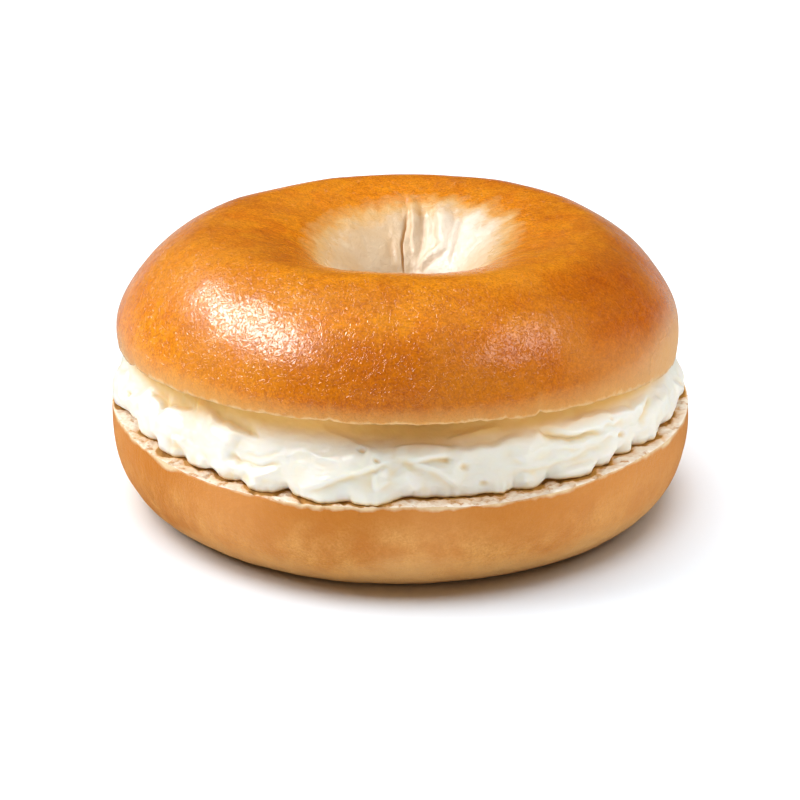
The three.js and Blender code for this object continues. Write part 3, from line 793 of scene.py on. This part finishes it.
def make_cheese(steps=1000):
    """Its points, the material of each face (it has one), and its fields."""
    azimuth = azimuths(steps)
    a = azimuth[:, None]
    wall_r, wall_z, up = cheese_wall(azimuth)
    lift = foot_lift(azimuth)

    inner = CHEESE["hole_radius"] + CHEESE["hole_waviness"] * waves(DOME_WAVES, a)
    inner_low, inner_high = bottom_cut(*on_circle(a, inner)), top_cut(*on_circle(a, inner))
    top_t = np.linspace(0, 1, 6)[None, :-1]
    top_r = inner + (wall_r[:, :1] - inner) * top_t
    top_z = inner_high + (wall_z[:, :1] - inner_high) * top_t
    base_t = np.array([[0.02, 0.05, 0.1, 0.4, 0.7, 1.0]])
    base_r = wall_r[:, -1:] + (inner - wall_r[:, -1:]) * base_t
    base_z = wall_z[:, -1:] + (inner_low - wall_z[:, -1:]) * base_t + lift * np.clip(1 - base_t / 0.1, 0, 1)
    tuck = CHEESE["tuck"] * np.exp(-up / CHEESE["tuck_height"])
    lifted_z = wall_z + lift * np.exp(-up / CHEESE["lift_height"])
    radius = np.concatenate([top_r, wall_r - tuck, base_r], 1)
    height = np.concatenate([top_z, lifted_z, base_z], 1)
    points = ring_points(azimuth, radius, height)
    normal = normals_of(points)

    wall = slice(top_r.shape[1], top_r.shape[1] + wall_r.shape[1])
    relief = spread_relief(a, up) * ease(0.0, 0.9, up) * ease(-0.2, 1.5, up[:, :1] - up)
    proud = relief + layered(points[:, wall], SPREAD_DENTS)
    points[:, wall] += normal[:, wall] * proud[..., None]
    lowest = bottom_cut(points[..., 0], points[..., 1]) + CHEESE["clearance"]
    points[..., 2] = np.maximum(points[..., 2], lowest)

    # Painted shade in the hollows of the spread's relief.
    hollow, foot = np.zeros(radius.shape), np.ones(radius.shape)
    sunk = blurred(relief, around=7, along=7) - relief
    hollow[:, wall] = np.clip(sunk / CHEESE["hollow_depth"], 0, 1)
    # Painted shade: the spread's foot browned, for the shadow line under its edge.
    foot[:, :wall.start] = 0
    foot[:, wall] = ease(0.9, 0.1, up)
    # Painted shade: the spread browner under the crown, the more steeply the crown's edge stands over it.
    return points, 0, {"painted_shade_under_crown": ease(62, 26, under_sky(points)), "hollow": hollow, "foot": foot}


# ---- Materials ----

# The sockets of a Mix node that hold colours
MIX_FIRST, MIX_SECOND, MIX_RESULT = 6, 7, 2

CRUST = dict(
    # Painted light: the last gold below lightens the crown's front ridge.
    gold=(0.84, 0.25, 0.005), light_gold=(0.93, 0.34, 0.009), painted_light_gold=(0.96, 0.37, 0.010),
    # Painted shade: the first brown below darkens the crown's right side and low front.
    baked=(0.58, 0.135, 0.003), blotch=(0.62, 0.16, 0.004), speckle=(0.51, 0.35, 0.26),
    clouded=(0.66, 0.27, 0.03), matt=(0.74, 0.42, 0.15), low=(0.66, 0.33, 0.085),
    torn=(0.74, 0.46, 0.20), beige=(0.76, 0.42, 0.13), pale=(0.69, 0.48, 0.27),
    # In the hole: the near-white after the palest is painted light on its right wall, and the last brown is
    # painted shade in its creases.
    palest=(0.75, 0.575, 0.375), painted_hole_light=(0.87, 0.77, 0.645), painted_furrow_shade=(0.58, 0.30, 0.10),
)
PALE_CRUST = dict(
    tan=(0.59, 0.205, 0.031), light_tan=(0.78, 0.385, 0.10), grain=(0.47, 0.15, 0.016),
    # The middle tan below is painted light on the lit sides of the bottom half.
    brown=(0.54, 0.168, 0.009), painted_side_light=(0.75, 0.325, 0.095), low=(0.74, 0.40, 0.14),
    rim=(0.80, 0.58, 0.33),
)
CRUMB = dict(
    # The brown after the two crumb tones below is painted shade in the pores.
    shaded=(0.90, 0.73, 0.55), pale=(0.98, 0.91, 0.80), painted_pore_shade=(0.60, 0.29, 0.08),
    # Painted shade: both browns below, in the gap under the spread.
    shade_in_gap=(0.74, 0.37, 0.085), gap=(0.44, 0.205, 0.035),
)
SPREAD = dict(
    # The tan after the two whites below is painted shade in the hollows.
    white=(0.80, 0.765, 0.67), lightest=(0.83, 0.80, 0.725), hollow=(0.86, 0.68, 0.36),
    # Painted shade: both colours below, along the spread's foot and under the crown.
    foot=(0.82, 0.58, 0.28), painted_shade_under_crown=(0.69, 0.42, 0.13),
)


class Shader:
    """A node material under construction, with a Principled shader at its end."""

    def __init__(self, name):
        self.material = bpy.data.materials.new(name)
        self.material.use_nodes = True
        self.tree = self.material.node_tree
        self.surface = self.tree.nodes["Principled BSDF"]

    def node(self, kind, **settings):
        made = self.tree.nodes.new(kind)
        for name, value in settings.items():
            setattr(made, name, value)
        return made

    def feed(self, socket, value):
        """Sets a socket to a number or a tuple, or links another node's output to it."""
        if isinstance(value, (int, float, tuple)):
            socket.default_value = value
        else:
            self.tree.links.new(value, socket)

    def feed_named(self, node, **values):
        for name, value in values.items():
            self.feed(node.inputs[name.replace("_", " ")], value)

    def place(self):
        return self.node("ShaderNodeTexCoord").outputs["Object"]

    def stretched(self, *factors):
        """Places scaled along each axis: a factor below 1 draws a texture out along its axis."""
        made = self.node("ShaderNodeVectorMath", operation="MULTIPLY")
        self.feed(made.inputs[0], self.place())
        self.feed(made.inputs[1], factors)
        return made.outputs[0]

    def field(self, name):
        return self.node("ShaderNodeAttribute", attribute_name=name).outputs["Fac"]

    def noise(self, scale, detail=3.0, roughness=0.55, distortion=0.0, where=None):
        """Noise, about 0.3 to 0.7, with this many features to a metre."""
        made = self.node("ShaderNodeTexNoise")
        self.feed_named(made, Vector=where or self.place(), Scale=scale, Detail=detail,
                        Roughness=roughness, Distortion=distortion)
        return made.outputs["Fac"]

    def remap(self, value, low, high, to_low=0.0, to_high=1.0):
        made = self.node("ShaderNodeMapRange")
        self.feed_named(made, Value=value, From_Min=low, From_Max=high, To_Min=to_low, To_Max=to_high)
        return made.outputs["Result"]

    def math(self, operation, first, second=0.0):
        made = self.node("ShaderNodeMath", operation=operation)
        self.feed(made.inputs[0], first)
        self.feed(made.inputs[1], second)
        return made.outputs[0]

    def mix(self, factor, first, second, blend="MIX"):
        """The first colour, turned into the second as the factor goes from 0 to 1."""
        made = self.node("ShaderNodeMix", data_type="RGBA", blend_type=blend)
        self.feed(made.inputs["Factor"], factor)
        for socket, colour in ((MIX_FIRST, first), (MIX_SECOND, second)):
            self.feed(made.inputs[socket], (*colour, 1.0) if isinstance(colour, tuple) else colour)
        return made.outputs[MIX_RESULT]

    def bump(self, height, depth_mm, under=None):
        made = self.node("ShaderNodeBump")
        self.feed_named(made, Strength=1.0, Distance=depth_mm * MM, Height=height)
        if under:
            self.feed_named(made, Normal=under)
        return made.outputs["Normal"]

    def set(self, **values):
        self.feed_named(self.surface, **values)


def crust_material():
    s, c = Shader("shiny_crust"), CRUST
    golden = s.mix(s.remap(s.noise(150, 4), 0.35, 0.65), c["gold"], c["light_gold"])
    # Painted light on the crown's front ridge.
    golden = s.mix(s.field("painted_ridge_light"), golden, c["painted_light_gold"])
    # Painted shade on the crown's right side and low front.
    golden = s.mix(s.field("baked"), golden, c["baked"])
    golden = s.mix(s.remap(s.noise(70, 4, 0.6, 0.4), 0.46, 0.70, 0.0, 0.6), golden, c["blotch"])
    fine_grain = s.remap(s.noise(2100, 3, 0.7), 0.36, 0.64)
    coarse_grain = s.remap(s.noise(620, 3), 0.36, 0.64)
    grain = s.math("ADD", s.math("MULTIPLY", fine_grain, 0.65), s.math("MULTIPLY", coarse_grain, 0.3))
    golden = s.mix(s.math("MULTIPLY", grain, 0.9), golden, c["speckle"], "MULTIPLY")
    golden = s.mix(s.remap(s.noise(45, 2), 0.45, 0.7, 0.0, 0.3), golden, c["clouded"])
    golden = s.mix(s.field("matt"), golden, c["matt"])

    ragged = s.remap(s.noise(500, 3), 0.3, 0.7, -0.3, 0.3)
    level = s.math("ADD", s.field("above_edge"), ragged)
    golden = s.mix(s.remap(level, 3.4, 0.0, 0.0, 0.8), golden, c["low"])
    golden = s.mix(s.remap(level, 0.5, -0.1), golden, c["torn"])

    pale = s.mix(s.remap(s.noise(160, 3), 0.35, 0.65), c["pale"], c["palest"])
    # Painted light: the right wall of the hole near-white.
    pale = s.mix(s.field("painted_hole_light"), pale, c["painted_hole_light"])
    # Painted shade in the creases of the hole.
    pale = s.mix(s.field("painted_furrow_shade"), pale, c["painted_furrow_shade"])
    fringe = s.math("ADD", s.field("past_pale"), s.remap(s.noise(420, 4, 0.6), 0.3, 0.7, -1.2, 1.2))
    beige = s.mix(s.remap(fringe, 4.4, 0.2), golden, c["beige"])
    colour = s.mix(s.remap(fringe, 1.4, -3.4), beige, pale)

    shiny = s.remap(grain, 0.0, 1.0, 0.15, 0.21)
    in_hole = s.remap(fringe, 1.4, -3.4, 0.0, 0.42)
    matt = s.remap(s.field("matt"), 0.0, 0.8, 0.0, 0.42)
    roughness = s.math("MAXIMUM", s.math("MAXIMUM", shiny, in_hole), matt)
    s.set(Base_Color=colour, Roughness=roughness, IOR=1.45)

    fine = s.bump(s.noise(2400, 2, 0.5, 0.3), 0.022)
    plates = s.bump(s.noise(760, 2, 0.5, 0.9), 0.115, under=fine)
    creases = s.math("ABSOLUTE", s.math("SUBTRACT", s.noise(640, 1, 0.5, 1.6), 0.5))
    s.set(Normal=s.bump(s.remap(creases, 0.0, 0.05), 0.048, under=plates))
    return s.material


def pale_crust_material():
    s, c = Shader("satin_crust"), PALE_CRUST
    tan = s.mix(s.remap(s.noise(110, 4, 0.6), 0.38, 0.62), c["tan"], c["light_tan"])
    grain = s.remap(s.noise(2000, 3, 0.7), 0.36, 0.64)
    scratches = s.remap(s.noise(420, 3, 0.6, where=s.stretched(1, 1, 0.3)), 0.36, 0.64)
    scratches = s.math("MULTIPLY", scratches, s.remap(s.field("drawn_out"), 0.0, 1.0, 0.2, 0.55))
    tan = s.mix(s.math("ADD", s.math("MULTIPLY", grain, 0.5), scratches), tan, c["grain"])

    level = s.math("ADD", s.field("below_rim"), s.remap(s.noise(60, 3), 0.3, 0.7, -2.5, 2.5))
    tan = s.mix(s.remap(level, 9.0, 1.5, 0.0, 0.9), tan, c["brown"])
    # Painted light on the lit sides of the bottom half.
    tan = s.mix(s.field("painted_side_light"), tan, c["painted_side_light"])
    tan = s.mix(s.remap(level, 12.0, 17.0, 0.0, 0.85), tan, c["low"])
    rim = s.math("ADD", s.field("below_rim"), s.remap(s.noise(450, 3), 0.3, 0.7, -0.25, 0.25))
    rim = s.math("ADD", rim, s.remap(s.noise(110, 2), 0.3, 0.7, -0.8, 0.8))
    tan = s.mix(s.remap(rim, 0.9, 0.0), tan, c["rim"])
    s.set(Base_Color=tan, Roughness=0.42, IOR=1.34, Normal=s.bump(s.noise(600, 5, 0.7), 0.5))
    return s.material


def crumb_material():
    s, c = Shader("bread_crumb"), CRUMB
    colour = s.mix(s.remap(s.noise(500, 4), 0.3, 0.7), c["shaded"], c["pale"])
    # Painted shade: the crumb browned in its pores and in spots drawn by noise.
    pore_shade_spots = s.remap(s.noise(480, 4, 0.6), 0.52, 0.65, 0.0, 0.85)
    colour = s.mix(s.math("MAXIMUM", s.field("painted_pore_shade"), pore_shade_spots), colour, c["painted_pore_shade"])
    # Painted shade in the gap under the spread.
    colour = s.mix(s.field("painted_gap_shade"), colour, c["shade_in_gap"])
    colour = s.mix(s.remap(s.field("painted_gap_shade"), 0.6, 0.95), colour, c["gap"])
    s.set(Base_Color=colour, Roughness=0.85, IOR=1.4, Normal=s.bump(s.noise(1500, 4, 0.6), 0.25))
    return s.material


def cheese_material():
    s, c = Shader("cream_cheese_spread"), SPREAD
    colour = s.mix(s.remap(s.noise(90, 3), 0.3, 0.7), c["white"], c["lightest"])
    # Painted shade in the hollows of the spread.
    colour = s.mix(s.math("MULTIPLY", s.field("hollow"), 0.8), colour, c["hollow"])
    # Painted shade along the foot of the spread.
    colour = s.mix(s.field("foot"), colour, c["foot"])
    # Painted shade under the crown.
    colour = s.mix(s.field("painted_shade_under_crown"), colour, c["painted_shade_under_crown"])
    s.set(Base_Color=colour, Roughness=0.34, IOR=1.42, Normal=s.bump(s.noise(700, 3, 0.5, 0.5), 0.07))
    s.set(Subsurface_Weight=0.7, Subsurface_Radius=(1.0, 0.8, 0.55), Subsurface_Scale=0.0022)
    return s.material


# ---- The bagel ----

def place_like_the_frame(points, node):
    """The way from these shapes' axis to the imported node's place."""
    low, high = (np.array(corner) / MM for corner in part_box(node))
    flat = points.reshape(-1, 3)
    middle = (flat.min(0) + flat.max(0)) / 2
    return np.array([*((low + high) / 2 - middle)[:2], 0.0])


bottom, top, cheese = make_bottom(), make_top(), make_cheese()
TO_FRAME = place_like_the_frame(top[0], "top_half")

crust, pale_crust = crust_material(), pale_crust_material()
crumb, spread = crumb_material(), cheese_material()
bagel = [
    ring_object("bottom_half_baked", *bottom, "root", "bottom_half", "pale_crust", (pale_crust, crumb)),
    ring_object("top_half_baked", *top, "root", "top_half", "crust", (crust, crumb)),
    ring_object("cream_cheese_spread", *cheese, "root", "cream_cheese", "cream_cheese", (spread,)),
]


# ---- Floor, light and camera ----

WHITE = (1.0, 1.0, 1.0)
LAMP_AIM = Vector((0, 0, 0.03))

# Lamps: (name, azimuth and elevation in degrees, distance, width and height in metres, watts, tint,
# turn in its own plane in degrees)
BAGEL_LAMPS = (
    ("key_left", -100, 32, 1.2, 0.8, 0.6, 13.4, WHITE, 0),
    ("top", 180, 85, 1.2, 1.2, 1.2, 11.0, WHITE, 0),
    ("front_low", 0, 15, 1.2, 0.8, 0.6, 4.8, WHITE, 0),
    ("right", 97, 20, 1.2, 0.8, 0.5, 7.9, WHITE, 0),
)
SHINE_LAMPS = (
    ("shine_left", -98, 47, 1.0, 0.95, 0.34, 20.5, (0.92, 0.97, 1.0), 20),
    ("shine_right", 74.5, 49, 1.0, 0.62, 0.32, 2.7, WHITE, 0),
    ("shine_back", -125, 33, 1.0, 0.6, 0.3, 1.2, WHITE, 0),
)
TABLE_LAMPS = (
    ("table_left", -105, 42, 1.5, 1.2, 1.0, 17.0, (0.95, 0.98, 1.0), 0),
    ("table_right", 105, 42, 1.5, 1.0, 1.0, 4.5, (0.85, 0.94, 1.0), 0),
    ("table_back", -165, 76, 1.5, 2.0, 2.0, 40.0, (0.93, 0.97, 1.0), 0),
)
WORLD_STRENGTH = 0.04


def make_floor(size=12):
    bpy.ops.mesh.primitive_plane_add(size=size)
    floor = bpy.context.object
    floor.name = "floor"
    s = Shader("floor_white")
    s.set(Base_Color=(0.91, 0.94, 0.97, 1), Roughness=0.9, Specular_IOR_Level=0.0)
    floor.data.materials.append(s.material)
    floor.visible_glossy = False
    return floor


def make_world(strength):
    world = bpy.data.worlds.new("studio")
    bpy.context.scene.world = world
    world.use_nodes = True
    background = world.node_tree.nodes["Background"]
    background.inputs["Color"].default_value = (1, 1, 1, 1)
    background.inputs["Strength"].default_value = strength


def collected(name, pieces):
    """A collection of the pieces that a lamp is for."""
    group = bpy.data.collections.new(name)
    for piece in pieces:
        group.objects.link(piece)
    return group


def lamp_object(name, shape, watts, lit, only_shine):
    """An area lamp for these pieces, which shows in their gloss or lights them, and not both."""
    lamp = bpy.data.lights.new(name, "AREA")
    lamp.shape = shape
    lamp.energy = watts
    made = bpy.data.objects.new(name, lamp)
    made.visible_glossy = only_shine
    for rays in ("visible_diffuse", "visible_transmission", "visible_volume_scatter"):
        setattr(made, rays, not only_shine)
    made.light_linking.receiver_collection = lit
    bpy.context.scene.collection.objects.link(made)
    return made


def softbox(name, azimuth, elevation, distance, width, height, watts, tint, roll, lit, only_shine):
    """An oval lamp aimed at the bagel."""
    made = lamp_object(name, "ELLIPSE", watts, lit, only_shine)
    made.data.size, made.data.size_y = width, height
    made.data.color = tint
    az, el = math.radians(azimuth), math.radians(elevation)
    towards = Vector((math.sin(az) * math.cos(el), -math.cos(az) * math.cos(el), math.sin(el)))
    made.location = towards * distance + LAMP_AIM
    made.rotation_euler = (-towards).to_track_quat("-Z", "Y").to_euler()
    made.rotation_euler.rotate_axis("Z", math.radians(roll))


def table_shine(size, brightness, lit, lift=0.0002):
    """The part of the white table that shows in the gloss of these pieces: a lamp that faces up."""
    made = lamp_object("table_shine", "SQUARE", brightness * math.pi * size ** 2, lit, only_shine=True)
    made.data.size = size
    made.location = (0, 0, lift)
    made.rotation_euler = (math.pi, 0, 0)
    made.visible_camera = False


def make_camera():
    elevation = math.radians(CAMERA["elevation"])
    back = Vector((0, -math.cos(elevation), math.sin(elevation)))
    camera = bpy.data.cameras.new("camera")
    camera.sensor_width = SENSOR_WIDTH
    camera.lens = CAMERA["focal_pixels"] * SENSOR_WIDTH / IMAGE_PIXELS
    made = bpy.data.objects.new("camera", camera)
    aim = Vector((TO_FRAME[0] + CAMERA["aim_right"], TO_FRAME[1], CAMERA["aim_height"])) * MM
    made.location = aim + back * CAMERA["distance"] * MM
    made.rotation_euler = (-back).to_track_quat("-Z", "Y").to_euler()
    bpy.context.scene.collection.objects.link(made)
    bpy.context.scene.camera = made


floor = make_floor()
make_world(WORLD_STRENGTH)
on_bagel, on_floor = collected("lit_bagel", bagel), collected("lit_floor", [floor])
for lamps, lit, only_shine in (
    (BAGEL_LAMPS, on_bagel, False), (SHINE_LAMPS, on_bagel, True), (TABLE_LAMPS, on_floor, False),
):
    for lamp in lamps:
        softbox(*lamp, lit, only_shine)
table_shine(0.9, 0.55, collected("lit_crown", [bagel[1]]))
make_camera()
bpy.context.scene.view_settings.view_transform = "Standard"
